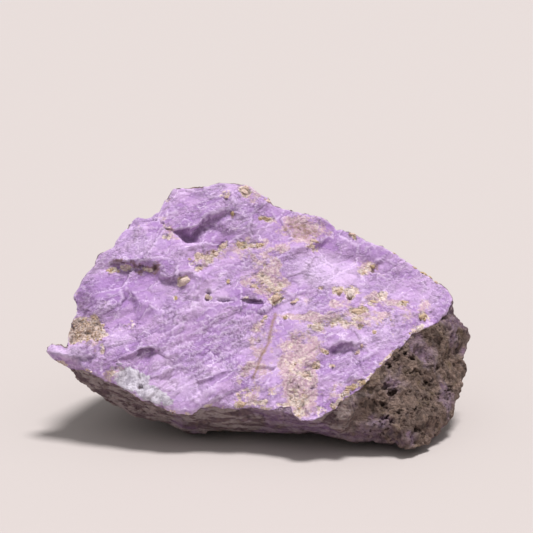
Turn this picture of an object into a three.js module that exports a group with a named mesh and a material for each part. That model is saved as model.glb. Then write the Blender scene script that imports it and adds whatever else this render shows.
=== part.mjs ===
// A rough, broken piece of phosphosiderite: a lilac fracture face that leans back over a grey rind.
// The stone is one solid. Its shape is a survey: hand-read points along its rim, its ledges and its
// creases are joined into facets, cut finer, roughened, and given one flat spot to rest on.
// Millimetres, +X to the right, +Y to the back, +Z up, with the origin under the stone's middle.

import * as THREE from 'three';
import { ImprovedNoise } from 'three/addons/math/ImprovedNoise.js';

// Driving dimensions
const STONE_WIDTH = 119; // from the tip of the beak to the right shoulder
const FACET_EDGE = 4.6; // the longest edge that a facet may have before it is roughened
const FOOT_LEVEL = 0; // the height at which the resting spot is worn flat

// The front survey: its eye looks down by a small angle, and its squares are true at a set distance
const VIEW_TILT = THREE.MathUtils.degToRad(15);
const EYE_DISTANCE = 560;
const VIEW_MIDDLE = 266.5; // column and row of the middle of the view
const MIDDLE_COLUMN = 256.5;
const FOOT_ROW = 420;
const BEAK_COLUMN = 44.6;
const SHOULDER_COLUMN = 469;
const SQUARE = STONE_WIDTH / (SHOULDER_COLUMN - BEAK_COLUMN);

// The broken face is surveyed as a leaning plane, and each front point is a rise above that plane
const FACE_REACH = 31; // how far the plane stands forward at the foot row
const FACE_LEAN = 0.577; // how far it falls back for each millimetre of height

// The hidden side is surveyed square on, from behind and below
const BACK_TILT = THREE.MathUtils.degToRad(35);

// Roughness of the finished surface: a smooth noise field that moves every vertex a little
const ROUGHNESS = [
  { wavelength: 11, reach: 0.55 },
  { wavelength: 5, reach: 0.3 },
];

// The rim, seen from the front, clockwise from the tip of the beak: [column, row, rise]
const RIM = [
  // the beak and the crusted notch above it
  [44.6, 351, -4.3], [51.5, 342, -4], [58, 342.5, -3.5], [66.5, 346, -4], [68.3, 332, -6], [73, 320, -5],
  [77.3, 313, -4], [77.3, 305, -4], [74, 297, -3],
  // the left shoulder, in three steps up to the crest
  [78, 288, -3], [85, 276, -3], [94, 264, -3], [100, 252.5, -3.5], [105, 251, -3], [113.5, 247, -3],
  [117, 240, -3], [124, 229, -3], [134, 216.5, -3], [149.5, 216.5, -2.5], [159, 211, -2], [165, 198, -2],
  [173, 187.5, -2],
  // the crest
  [190, 186.5, -2], [208, 185, -2], [221, 181, -2], [232, 180.5, -2], [249, 185, -2.5], [265, 194, -2.5],
  [274.5, 204.5, -2.5],
  // the long slope down to the right shoulder
  [291, 210, -2.5], [310, 215, -2.5], [321, 216, -2.5], [327, 219.5, -2.8], [336.5, 229, -3.4],
  [343.5, 228.5, -3.2], [353, 233, -3.2], [367, 238.5, -3.6], [383.5, 245.5, -4.3], [400, 256, -5.5],
  [415, 265.5, -6.6], [423, 270.5, -7.2], [433, 278, -8], [440, 281.5, -8.5], [448, 288, -9],
  [453.5, 299, -9.4],
  // the grey right side with its two lumps
  [457.5, 312, -13.5], [468, 329, -18.3], [469, 336, -19.4], [466, 350, -19.7], [460.5, 359.5, -17.3],
  [465, 367, -20.4], [464, 378, -20.2], [463, 394, -18.8], [454.5, 407.5, -16], [453.5, 415.5, -16.2],
  [437.5, 437, -13.7], [429, 444, -9.9], [414, 449, -5.6], [405.5, 449, -5.6], [395, 444.5, -8],
  // the front underside, lifted a little off the ground
  [368, 441, -8.4], [350, 441, -8.4], [340, 440, -8.7], [317, 434, -8.3], [306.5, 431.5, -7.8],
  [294.5, 433.5, -9.2], [261, 430.5, -11.7], [240, 430, -12.6], [214, 431, -13.7], [194, 434, -16.3],
  [182.5, 430.5, -15.7],
  // the overhang under the beak
  [170, 424, -14.6], [147, 418, -14.7], [131, 415, -15.2], [120, 408, -14.6], [108.5, 403.5, -14.3],
  [96, 393.5, -13.2], [84.5, 384, -11.2], [76.5, 378, -9.7], [72, 370, -6.9], [61, 364, -5],
  [51, 358.5, -4.6],
];

// Creases of the front, seen from the front: each line is a run of [column, row, rise]
const FRONT_LINES = {
  // the edge between the lilac face and the grey sides
  brow: [
    [83, 370.5, -2], [106, 381, -1.5], [117, 385, -1], [139.5, 399, -1.5], [168, 410.5, -2],
    [191, 415, -3], [201, 408, -2], [212, 406.5, -1.5], [230, 408, -1], [252, 407.5, -1],
    [270, 410.5, -0.5], [290.5, 406.5, 0.5], [293.5, 414.5, 1], [301, 420.5, 2.5], [310, 421.5, 3],
    [316, 420, 3], [337, 408, 3], [340, 401, 3], [350, 395, 3.5], [357, 392, 4], [368, 380, 5],
    [386.5, 359.5, 3], [392, 356, 2], [396, 348, 1.5], [402, 347, 1], [412, 334, -1], [429, 327, -4],
    [437.5, 323, -5.5], [448.5, 312, -8],
  ],
  bandUnderBrow: [
    [100, 388, -7], [150, 409, -7.5], [198, 425, -9], [245, 420, -6], [290, 424, -4], [326, 424, -1],
  ],
  // the shelf under the crest, with its dark recess
  upperLedgeLip: [
    [160, 228.5, 1], [170, 227.5, 1.8], [177, 229, 2.4], [190, 226.5, 2.8], [198, 224.5, 2.8],
    [202, 218, 2.6], [207, 213.5, 2.4], [217.5, 211.5, 1.8], [228, 208.5, 1.1], [237, 208.5, 0.2],
  ],
  upperLedgeFoot: [
    [179, 232.3, -1.5], [186, 238.5, -2.8], [191.5, 238, -2.5], [197, 231, -2], [203, 225, -1.6],
    [211, 221, -1.2], [222, 217, -0.8], [232, 214, -0.6],
  ],
  tongueEdge: [[172, 231, 1.6], [180, 237.5, 1], [185.5, 242, 0.2]],
  crestGroove: [[219, 188, -1.8], [215.5, 196, -1.2], [207, 202.5, -0.5], [200, 212, 1]],
  crestKnob: [[231, 190, 0.8], [233, 198, 1.8], [235, 204, 1.2]],
  creamShelf: [
    [190, 261, -0.2], [203, 256.5, -0.9], [222, 249.5, -1.8], [243, 245, -1.7], [262, 247, -1.2],
  ],
  // the crumbled ledge on the left shoulder
  leftLedgeLip: [
    [105, 254, -2], [115, 257.5, 0.3], [124, 260, 1.7], [135, 259.5, 2.2], [148, 258.5, 2.2],
    [158, 257, 2.2], [162, 266, 1.5], [163, 275, 1.5], [169, 276, 1.5], [180, 274.5, 1.5], [188, 272, 1],
  ],
  leftLedgeFoot: [
    [106, 268, -2], [117, 269, -1.9], [127, 270.5, -1.8], [138, 270, -1.4], [148, 273, -1.1],
    [157, 279, -0.5], [170, 280, -0.4], [181, 278.5, -0.3],
  ],
  slabEdge: [[166, 257, 1.5], [183, 247, 1.5], [202, 243.5, 0.2], [208, 250, -0.3]],
  // the pink slab and the bright plateau below it
  pinkSlabLip: [
    [331, 233.5, -2.8], [322, 240, -1.2], [308, 245.5, -0.2], [297, 248, 0.2], [284, 254.5, 0.6],
    [269, 266, 0.8],
  ],
  pinkSlabFoot: [
    [327, 243, -3.4], [312, 250.5, -1.6], [300, 254.5, -1], [288, 262, -0.6], [278, 272, -0.2],
  ],
  plateauHead: [[333, 248, -4.3], [345, 257, -4.6], [365, 265, -4.6], [392, 279, -5.6]],
  paleRidge: [
    [300, 325, 0.8], [322, 321, 1], [345, 317, 1.2], [380, 314, 0.5], [410, 312, -1.5], [440, 307, -6],
  ],
  // smaller steps of the lilac face
  hollowCreaseFoot: [[129, 290, 0], [132, 299, -1], [134, 312.5, -1.2], [137, 321, -0.8]],
  hollowCreaseLip: [[137, 299, 0.8], [142, 304, 1], [148, 304.5, 1], [159.5, 311, 0.6]],
  leftFlakeLip: [
    [135, 352.5, 0.8], [141, 348.5, 1.4], [148, 347, 1.6], [154, 349, 1.2], [161, 351.5, 0.4],
  ],
  leftFlakeFoot: [[138, 355, -0.6], [143.5, 356, -1], [150, 354, -1], [156, 353.5, -0.4]],
  rightFlakeLip: [[327, 351, 1], [334, 345, 1.8], [341, 341, 2.2], [352, 343.5, 2], [359, 350.5, 1]],
  rightFlakeFoot: [[334, 350, -0.8], [343.5, 351.5, -1], [352, 349.5, -0.8]],
  slitLip: [[238, 300, 0.4], [245, 297.5, 0.8], [253, 297.5, 0.9], [260, 299.5, 0.7], [266, 303, 0.4]],
  slitFloor: [[246, 300.8, -1.1], [253, 301.3, -1.4], [259, 302.5, -0.9]],
  slitFoot: [[246, 303.8, 0.2], [253, 304.3, 0.2], [260, 305, 0.3]],
  lowStepLip: [[186, 388, 0.3], [195, 380.5, 0.8], [205, 378, 0.9], [218, 371, 0.6], [236, 367, 0.1]],
  lowStepFoot: [[196, 383.5, -0.2], [206, 381.5, -0.3], [219, 375.5, -0.2]],
  // the beak and the crust behind it
  beakBack: [[77, 346.5, -1], [86, 342.5, -0.5], [92, 340, 0], [98, 344.5, 0.3], [103, 356, 0.3]],
  crustFoot: [[74, 341.5, -5], [85, 336.5, -3.5], [95, 335, -2]],
  crustHead: [[84, 315, -3.5], [92, 312, -1.5], [102, 319, -1]],
  // folds, clefts and swellings of the grey side
  cornerFold: [[354, 411, 2], [346, 423, 1.5], [341.5, 431, -2]],
  cornerCleft: [[358.5, 413, -1], [350.5, 425, -2.5], [346.5, 433, -5]],
  shoulderCleft: [[463, 341, -18], [456, 350, -18.5], [450.5, 358, -14]],
  shoulderRidge: [[452, 330, -11], [447, 344, -9], [444, 356, -9.5]],
  rindHollow: [[396, 372, 0.3], [404, 392, -1.5], [392, 408, -0.8]],
};

// Lone high and low spots of the front: [column, row, rise]
const FRONT_SPOTS = [
  // the beak and the left half of the lilac face
  [56, 351, -2], [67, 356, -1.5], [76, 358, -1.2], [88, 356, -0.8], [110, 362, 0.6], [100, 300, 0],
  [150, 240, 1.5], [185, 207, 0.2], [256, 206, -1.6], [252, 226, -1.2], [225, 234, -1.3], [215, 285, 0.3],
  [252, 284, 1], [200, 330, -0.6], [240, 345, -0.4], [180, 368, 0.4], [215, 392, 0.2],
  // the right half of the lilac face
  [290, 230, -1.2], [285, 350, 0.2], [270, 385, 0.5], [310, 385, 1], [330, 372, 1.6], [343, 330, 2],
  [380, 340, 1.4], [318, 285, -1.4], [345, 290, -1.2], [400, 290, -4], [425, 295, -6],
  // the grey side
  [430, 345, -6.5], [421, 362, -4.2], [441, 380, -11], [435, 400, -8.3], [447, 406, -11.5],
  [424, 421, -4.5], [404, 438, -3.2], [380, 428, -2.5],
];

// Pits in the grey side: [column, row, half width in squares, depth]
const PITS = [
  [394, 393, 4.4, 1.9], [384.5, 386.5, 3.8, 1.6], [427, 383.5, 4.2, 1.8], [416, 371, 4, 1.5],
  [387, 418, 4, 1.6], [415, 412, 3.6, 1.4], [401, 411, 3.2, 1.3], [417, 430, 3.6, 1.4],
  [450.5, 390, 3.6, 1.8], [389, 366, 3.4, 1.7], [403, 353, 3.2, 1.6], [382, 405, 3.2, 1.3],
  [437, 367, 3.4, 1.4], [412, 358, 3.4, 1.3], [426, 398, 3, 1.2],
];
const PIT_SIDES = 7;
const PIT_UNEVENNESS = 0.28; // share of the half width by which a pit's lip runs in and out

// Creases of the hidden back, as places on the stone: [x, y, z]
const BACK_LINES = {
  shelfEdge: [
    [-42, 19, 34], [-30, 29, 42], [-14, 35, 48], [4, 34, 46], [20, 30, 39], [36, 24, 31.5], [49, 17, 24],
  ],
  wallCrease: [[-26, 34, 36], [-22, 39, 25], [-18, 37, 12]],
  shoulderCrease: [[22, 34, 31], [25, 37, 20], [30, 34, 10]],
  wallFoot: [
    [-44, 14, 16], [-34, 25, 8], [-18, 35, 4], [4, 38.5, 2.5], [24, 35, 2.5], [40, 27, 3.5], [50, 15, 5],
    [52, 5, 7],
  ],
  bellyKeel: [[-55.5, -7, 22], [-52, -4.5, 19.5], [-42, 3, 12], [-31, 4, 6]],
};

// Lone places of the back and underside, with the resting spot sunk below the level of its wear
const BACK_SPOTS = [
  [-47, 9, 31], [-42, 23, 25], [-33, 28, 22], [1, 36, 38], [-4, 42, 28], [-8, 40, 15], [10, 40, 20],
  [36, 28, 13], [42, 27, 20], [54, 16, 15], [57, 4, 14], [-36, 15, 9], [-27, 17, 3], [-19, -6, -1.2],
  [-21, 12, -1.2], [-14, 28, -1.2], [6, 32, -1.2], [26, 28, -1.2], [40, 18, -1.2], [46, 2, -1.2],
  [44, -14, -1.2], [34, -14, -1.2], [18, -8, -1.2], [0, -6, -1.2], [12, 10, -1.2],
];

// The two views' own axes
const VIEW_UP = new THREE.Vector3(0, Math.sin(VIEW_TILT), Math.cos(VIEW_TILT));
const VIEW_OUT = new THREE.Vector3(0, -Math.cos(VIEW_TILT), Math.sin(VIEW_TILT));
const VIEW_AXIS_X = (VIEW_MIDDLE - MIDDLE_COLUMN) * SQUARE;
const VIEW_AXIS_UP = (FOOT_ROW - VIEW_MIDDLE) * SQUARE;
const BACK_UP = new THREE.Vector3(0, Math.sin(BACK_TILT), Math.cos(BACK_TILT));

// A survey point is a place on the stone and the flat spot where a view sees it.
// A front point lies on the sight line through its column and row, and stands `rise` off the face.
function sighted([column, row, rise]) {
  const reach = FACE_REACH - FACE_LEAN * (FOOT_ROW - row) * SQUARE + rise;
  const nearness = (EYE_DISTANCE - reach) / EYE_DISTANCE;
  const across = VIEW_AXIS_X + (column - VIEW_MIDDLE) * SQUARE * nearness;
  const up = VIEW_AXIS_UP + (VIEW_MIDDLE - row) * SQUARE * nearness;
  const place = new THREE.Vector3(across, 0, 0).addScaledVector(VIEW_UP, up).addScaledVector(VIEW_OUT, reach);
  return { place, spot: new THREE.Vector3(column, row, 0) };
}

// The same place as the back view sees it, with rows that run downwards as in the front view
function seenFromBehind(place) {
  return { place, spot: new THREE.Vector3(place.x, -place.dot(BACK_UP), 0) };
}

function midpoint(a, b) {
  return { place: a.place.clone().lerp(b.place, 0.5), spot: a.spot.clone().lerp(b.spot, 0.5) };
}

// True if d lies inside the circle through a, b and c, which run counterclockwise
function inCircle(a, b, c, d) {
  const [ax, ay, bx, by, cx, cy] = [a.x - d.x, a.y - d.y, b.x - d.x, b.y - d.y, c.x - d.x, c.y - d.y];
  const [aa, bb, cc] = [ax * ax + ay * ay, bx * bx + by * by, cx * cx + cy * cy];
  return ax * (by * cc - bb * cy) - ay * (bx * cc - bb * cx) + aa * (bx * cy - by * cx) > 1e-9;
}

// Delaunay triangles over flat spots, each as three indices that run counterclockwise
function triangulate(spots) {
  const far = 1e5;
  const frame = [[-far, -far], [far, -far], [0, far]].map(([x, y]) => new THREE.Vector3(x, y, 0));
  const all = [...spots, ...frame];
  let triangles = [[spots.length, spots.length + 1, spots.length + 2]];
  spots.forEach((spot, index) => {
    const [struck, kept] = [[], []];
    for (const t of triangles) {
      (inCircle(all[t[0]], all[t[1]], all[t[2]], spot) ? struck : kept).push(t);
    }
    const edges = struck.flatMap(([a, b, c]) => [[a, b], [b, c], [c, a]]);
    const border = edges.filter(([a, b]) => !edges.some(([c, d]) => c === b && d === a));
    triangles = [...kept, ...border.map(([a, b]) => [a, b, index])];
  });
  return triangles.filter((t) => t.every((corner) => corner < spots.length));
}

// Splits the lines' segments at their middles until every segment is an edge of the triangles
function fitLines(points, lines) {
  for (let round = 0; round < 12; round++) {
    const triangles = triangulate(points.map((p) => p.spot));
    const edges = new Set(triangles.flatMap(([a, b, c]) => [`${a},${b}`, `${b},${c}`, `${c},${a}`]));
    let complete = true;
    for (const line of lines) {
      for (let i = line.length - 1; i > 0; i--) {
        const [a, b] = [line[i - 1], line[i]];
        if (edges.has(`${a},${b}`) || edges.has(`${b},${a}`)) continue;
        complete = false;
        line.splice(i, 0, points.push(midpoint(points[a], points[b])) - 1);
      }
    }
    if (complete) return triangles;
  }
  throw new Error('two survey lines cross');
}

// True if a flat spot lies within a closed ring of flat spots
function isWithin(spot, ring) {
  let within = false;
  ring.forEach((a, i) => {
    const b = ring[(i + 1) % ring.length];
    const crosses = a.y > spot.y !== b.y > spot.y;
    if (crosses && spot.x < ((b.x - a.x) * (spot.y - a.y)) / (b.y - a.y) + a.x) within = !within;
  });
  return within;
}

// One side of the stone: the rim's points come first, then the side's own lines and lone points
function surveySheet(rim, lines, loners) {
  const points = [...rim];
  const rimLine = [...rim.keys(), 0];
  const runs = lines.map((line) => line.map((p) => points.push(p) - 1));
  points.push(...loners);
  const triangles = fitLines(points, [rimLine, ...runs]);
  if (rimLine.length !== rim.length + 1) throw new Error('a crease runs too close to the rim');
  const ring = rim.map((p) => p.spot);
  const centre = ([a, b, c]) => points[a].spot.clone().add(points[b].spot).add(points[c].spot).divideScalar(3);
  return { points, triangles: triangles.filter((t) => isWithin(centre(t), ring)) };
}

// The place on a sheet that a flat spot covers
function placeOn({ points, triangles }, spot) {
  const corners = triangles.map((t) => t.map((corner) => points[corner]));
  const [a, b, c] = corners.find((t) => THREE.Triangle.containsPoint(spot, ...t.map((p) => p.spot)));
  const target = new THREE.Vector3();
  return THREE.Triangle.getInterpolation(spot, a.spot, b.spot, c.spot, a.place, b.place, c.place, target);
}

// A pit: lip points on the surface of a sheet, in an uneven ring round a floor sunk away from the eye
function pitPoints(sheet, [column, row, halfWidth, depth]) {
  const lips = Array.from({ length: PIT_SIDES }, (_, side) => {
    const turn = (2 * Math.PI * side) / PIT_SIDES;
    const width = halfWidth * (1 + PIT_UNEVENNESS * Math.sin(column + side * row));
    const spot = new THREE.Vector3(column + width * Math.cos(turn), row + width * Math.sin(turn), 0);
    return { place: placeOn(sheet, spot), spot };
  });
  const spot = new THREE.Vector3(column, row, 0);
  return [...lips, { place: placeOn(sheet, spot).addScaledVector(VIEW_OUT, -depth), spot }];
}

// The front sheet, surveyed once without its pits so that the pits know the surface they lie in
function frontSheet(rim) {
  const lines = Object.values(FRONT_LINES).map((line) => line.map(sighted));
  const spots = FRONT_SPOTS.map(sighted);
  const smooth = surveySheet(rim, lines, spots);
  return surveySheet(rim, lines, [...spots, ...PITS.flatMap((pit) => pitPoints(smooth, pit))]);
}

function backSheet(rim) {
  const seen = (point) => seenFromBehind(new THREE.Vector3(...point));
  const lines = Object.values(BACK_LINES).map((line) => line.map(seen));
  return surveySheet(rim.map((p) => seenFromBehind(p.place)), lines, BACK_SPOTS.map(seen));
}

// Joins the front and the back sheet along the rim into one closed net of facets
function joinSheets(front, back, rimCount) {
  const places = [...front.points, ...back.points.slice(rimCount)].map((p) => p.place);
  const shift = front.points.length - rimCount;
  const behind = (corner) => (corner < rimCount ? corner : corner + shift);
  // rows run downwards, so a counterclockwise triangle faces the back in either view
  const frontFacets = front.triangles.map(([a, b, c]) => [a, c, b]);
  const backFacets = back.triangles.map((t) => t.map(behind));
  return { places, facets: [...frontFacets, ...backFacets] };
}

// One facet as one to four smaller ones, by which of its edges have a middle point
function splitFacet([a, b, c], middleOf) {
  const [ab, bc, ca] = [middleOf(a, b), middleOf(b, c), middleOf(c, a)];
  const whole = [ab, bc, ca].filter((middle) => middle === undefined).length;
  if (whole === 3) return [[a, b, c]];
  if (whole === 0) return [[a, ab, ca], [ab, b, bc], [ca, bc, c], [ab, bc, ca]];
  // turn the facet until its first edge has a middle point and its last edge has none
  if (ab === undefined || ca !== undefined) return splitFacet([b, c, a], middleOf);
  if (bc === undefined) return [[a, ab, c], [ab, b, c]];
  return [[ab, b, bc], [a, ab, bc], [a, bc, c]];
}

// Cuts every edge that is too long in two, and the facets beside it, until none is left
function refine({ places, facets }, longest) {
  const middles = new Map();
  const middleOf = (a, b) => {
    if (places[a].distanceTo(places[b]) <= longest) return undefined;
    const key = a < b ? `${a},${b}` : `${b},${a}`;
    if (!middles.has(key)) middles.set(key, places.push(places[a].clone().lerp(places[b], 0.5)) - 1);
    return middles.get(key);
  };
  const finer = facets.flatMap((facet) => splitFacet(facet, middleOf));
  return middles.size > 0 ? refine({ places, facets: finer }, longest) : { places, facets: finer };
}

// Moves each place by a smooth noise field, which roughens faces and edges and can't fold them over
function roughen(places) {
  const noise = new ImprovedNoise();
  const offsets = [0, 37.3, 71.9];
  for (const place of places) {
    const shift = [0, 0, 0];
    for (const { wavelength, reach } of ROUGHNESS) {
      const p = place.clone().divideScalar(wavelength);
      offsets.forEach((o, axis) => (shift[axis] += reach * noise.noise(p.x + o, p.y + o, p.z + o)));
    }
    place.add(new THREE.Vector3(...shift));
  }
}

function stoneGeometry() {
  const rim = RIM.map(sighted);
  const { places, facets } = refine(joinSheets(frontSheet(rim), backSheet(rim), rim.length), FACET_EDGE);
  roughen(places);
  // what would hang below the ground is worn flat, and makes the resting spot
  for (const place of places) place.z = Math.max(place.z, FOOT_LEVEL);
  const geometry = new THREE.BufferGeometry().setFromPoints(places).setIndex(facets.flat());

  // the origin goes under the middle of the stone, on the ground
  geometry.computeBoundingBox();
  const middle = geometry.boundingBox.getCenter(new THREE.Vector3());
  geometry.translate(-middle.x, -middle.y, -FOOT_LEVEL);
  geometry.computeVertexNormals();
  return geometry;
}

const lilac = new THREE.MeshStandardMaterial({ color: 0xa986c0, roughness: 0.9, metalness: 0 });
const stone = new THREE.Mesh(stoneGeometry(), lilac);
stone.name = 'stone';

const specimen = new THREE.Group();
specimen.add(stone);

export default specimen;
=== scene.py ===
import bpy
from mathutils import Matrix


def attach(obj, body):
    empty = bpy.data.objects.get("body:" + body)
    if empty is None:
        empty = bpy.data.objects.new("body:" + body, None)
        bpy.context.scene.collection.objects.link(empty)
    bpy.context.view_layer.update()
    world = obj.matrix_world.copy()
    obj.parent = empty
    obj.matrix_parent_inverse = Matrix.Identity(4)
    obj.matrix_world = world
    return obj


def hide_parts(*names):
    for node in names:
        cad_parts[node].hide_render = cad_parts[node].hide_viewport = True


bl_info = {
    "name": "Phosphosiderite Specimen",
    "version": (1, 0, 0),
    "blender": (4, 5, 0),
    "location": "View3D > Sidebar > Specimen",
    "description": "Dresses a rough lilac stone with flakes, crust, pits and crumbs, and sets it on a plain stage",
    "category": "Object",
}

import math

import bmesh
import bpy
import numpy as np
from bpy.props import FloatProperty, FloatVectorProperty, IntProperty, PointerProperty
from mathutils import Vector, kdtree, noise

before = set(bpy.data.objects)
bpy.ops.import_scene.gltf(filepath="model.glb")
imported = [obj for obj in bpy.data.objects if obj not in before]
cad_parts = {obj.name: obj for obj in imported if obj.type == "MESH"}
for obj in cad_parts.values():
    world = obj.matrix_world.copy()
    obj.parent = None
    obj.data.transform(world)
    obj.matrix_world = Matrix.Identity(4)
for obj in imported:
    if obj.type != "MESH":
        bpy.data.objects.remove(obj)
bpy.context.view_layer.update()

MM = 0.001

# The front survey that the stone was drawn from: marks are placed by its columns and rows
TILT = math.radians(15)
EYE_DISTANCE = 560 * MM
IMAGE_SIDE = 533
LEFT_END, RIGHT_END = 44.6, 469
SQUARE = 119 * MM / (RIGHT_END - LEFT_END)
VIEW_MIDDLE = IMAGE_SIDE / 2
ORIGIN_COLUMN, ORIGIN_ROW = 256.5, 420
SURVEY_ORIGIN = Vector((-1.063 * MM, -4.771 * MM, 0))
VIEW_UP = Vector((0, math.sin(TILT), math.cos(TILT)))
VIEW_OUT = Vector((0, -math.cos(TILT), math.sin(TILT)))
AXIS_X = (VIEW_MIDDLE - ORIGIN_COLUMN) * SQUARE
AXIS_UP = (ORIGIN_ROW - VIEW_MIDDLE) * SQUARE

# The edge between the lilac face and the grey rind, from the beak round to the right shoulder
BROW = [
    (40, 356), (61, 364), (72, 369.5), (83, 370.5), (95, 376), (106, 381), (117, 385.5), (128, 392), (139.5, 399),
    (153, 405), (168, 410.5), (180, 413.5), (191, 415), (201, 408), (212, 406.5), (222, 408.5), (232, 408),
    (240, 409.5), (252, 407.5), (270, 410.5), (280, 408), (290.5, 406.5), (293.5, 414.5), (301, 420.5),
    (310, 421.5), (316, 420), (325, 414), (337, 408), (340, 401), (350, 395), (357, 392), (368, 380),
    (386.5, 359.5), (392, 356), (396, 348), (402, 347), (412, 334), (429, 327), (437.5, 323), (448.5, 312),
    (453.5, 299), (470, 285),
]

# Patches of the front: (column, row, half length, half height, turn in degrees, strength)
CRUST = [
    # the crusted notch above the beak
    (84, 330, 19, 14, -8, 1.0), (76, 338, 9, 8, 0, 1.0), (98, 330, 10, 11, 0, 0.9), (90, 319, 12, 5, 0, 0.75),
    (102, 350, 2.5, 7, 0, 0.7), (112, 372, 5, 8, 40, 0.45),
    # the crest
    (246, 192.5, 7.5, 4.5, 12, 0.95), (226, 196, 7, 4, -30, 0.5), (267, 200, 7, 3.5, 40, 0.5),
    (265, 219, 6, 3, 0, 0.9), (176, 204, 8, 3, 10, 0.3), (166, 203, 3, 4, 0, 0.4),
    # the cream shelf
    (199, 256, 6, 4, -20, 0.95), (208, 258.5, 6, 3.5, 0, 0.7), (222, 247, 3.5, 5, 20, 0.85),
    (215, 253, 9, 3, -25, 0.6),
    (241, 245, 8, 4.5, -5, 0.95), (251, 246, 8, 2.5, 0, 0.6), (260, 245, 5, 3, 0, 0.9), (193, 262, 4, 4, 0, 0.5),
    # the left shoulder
    (166, 238, 6, 3.5, 20, 0.45), (165, 226, 7, 3, 20, 0.4), (112, 270, 6, 4, 0, 0.85), (128, 268, 8, 3, 0, 0.5),
    (147, 268, 7, 4, 0, 0.5), (183, 281.5, 6.5, 6.5, 0, 1.0), (200, 268, 4, 3, 0, 0.8), (229, 282, 2.5, 3.5, 0, 0.6),
    (207.5, 297, 3.5, 2.5, 0, 0.95), (176, 299, 3, 2.5, 0, 0.8), (103, 305, 7, 4, 0, 0.35),
    (130, 326, 10, 3, 0, 0.45),
    # the pink patch and its nuggets
    (276, 299, 6.5, 6, 0, 1.0), (256, 286, 5, 3, 0, 0.6), (264, 280, 12, 6, 30, 0.5), (281, 289, 6, 7, 0, 0.55),
    (252, 297, 8, 3, 0, 0.35), (270, 290, 10, 4, 0, 0.5), (265, 267, 4, 3, 0, 0.6),
    # the right half of the face
    (320, 289, 2.5, 2.5, 0, 0.7), (295, 301, 4, 2.5, 0, 0.75), (285, 318, 3, 2.5, 0, 0.7), (265, 317, 4, 3, 0, 0.65),
    (338, 291, 6, 5, 0, 0.8), (351, 292, 7, 7, 0, 1.0), (360, 311, 10, 4.5, 0, 0.95), (374, 301, 6, 3, -10, 0.7),
    (384, 295, 8, 4, -15, 0.65), (404, 302, 7, 3.5, -15, 0.85), (423, 316, 5, 4, 20, 0.85), (360, 328, 4, 3, 0, 0.7),
    (374, 331, 3.5, 3, 0, 0.65), (362, 346, 4, 3, 0, 0.5), (357, 353, 4, 4, 0, 0.5), (345, 322, 28, 5, -5, 0.5),
    (318, 325, 14, 5, 0, 0.5), (388, 321, 18, 4, -8, 0.4), (415, 327, 14, 4, -25, 0.4), (432, 316, 8, 4, -35, 0.4),
    (312, 247, 8, 4, 0, 0.5), (316, 240, 8, 4, 0, 0.4), (373, 268, 9, 5, -10, 0.45), (363, 274, 9, 5, 0, 0.4),
    # crumbs along the rim
    (353, 235, 5, 3, 25, 0.85), (395, 252, 6, 2.5, 30, 0.5), (424, 271.5, 7, 2.5, 32, 0.85),
    (437, 281, 6, 3, 30, 0.75),
    # the crusty fan below the vein
    (296, 345, 12, 14, 0, 0.3), (298, 372, 15, 20, 0, 0.4), (298, 398, 13, 12, 0, 0.5), (270, 396, 14, 9, -20, 0.4),
    (245, 394, 13, 7, -20, 0.45), (240, 404, 8, 4, 0, 0.85), (262, 403, 8, 4, 0, 0.55), (283, 405, 9, 4, 0, 0.6),
    (325, 351, 4, 3.5, 0, 0.95), (317, 365, 4, 3.5, 0, 0.95), (306, 375, 6, 4, 0, 0.75), (333, 366, 3, 2.5, 0, 0.75),
    (298, 413, 6, 8, -30, 0.6), (322, 413, 8, 5, -25, 0.45), (333, 407, 4, 3, 0, 0.8), (262, 335, 12, 12, 0, 0.3),
    # crumbs along the brow
    (352, 388, 6, 3.5, -20, 1.0), (362, 382, 5, 3, -35, 0.95), (345, 393, 7, 4, -20, 0.85),
    (371, 377, 4, 2.5, -35, 0.6),
]
OCHRE = [
    (183, 281, 5.5, 5.5, 0, 0.75), (242, 245, 6, 3.5, 0, 0.9), (260, 245, 4, 2.5, 0, 0.9),
    (276, 299, 5.5, 5, 0, 0.85),
    (246, 193, 5, 3, 10, 0.5), (266, 219, 4, 2.5, 0, 0.8), (360, 311, 8, 3.5, 0, 0.9), (351, 296, 5, 4, 0, 0.7),
    (404, 302, 5, 2.5, -15, 0.8), (423, 316, 4, 3, 20, 0.9), (338, 292, 4, 3, 0, 0.7), (352, 388, 4, 2.5, -20, 0.9),
    (363, 382, 4, 2.5, -35, 0.9), (112, 270, 4, 3, 0, 0.8), (86, 332, 12, 9, 0, 0.25), (325, 351, 3, 2.5, 0, 0.8),
    (317, 366, 3, 2.5, 0, 0.6), (240, 405, 4, 2.5, 0, 0.8), (353, 235, 4, 2, 25, 0.8), (207, 298, 2.5, 2, 0, 0.5),
    (199, 255, 4, 2.5, -20, 0.6), (295, 301, 3, 2, 0, 0.7), (375, 331, 3, 2.5, 0, 0.7), (176, 299, 2.5, 2, 0, 0.8),
    (424, 271.5, 5, 2, 32, 0.6), (285, 318, 2.5, 2, 0, 0.7), (320, 289, 2, 2, 0, 0.7), (76, 336, 6, 6, 0, 0.5),
]
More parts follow.
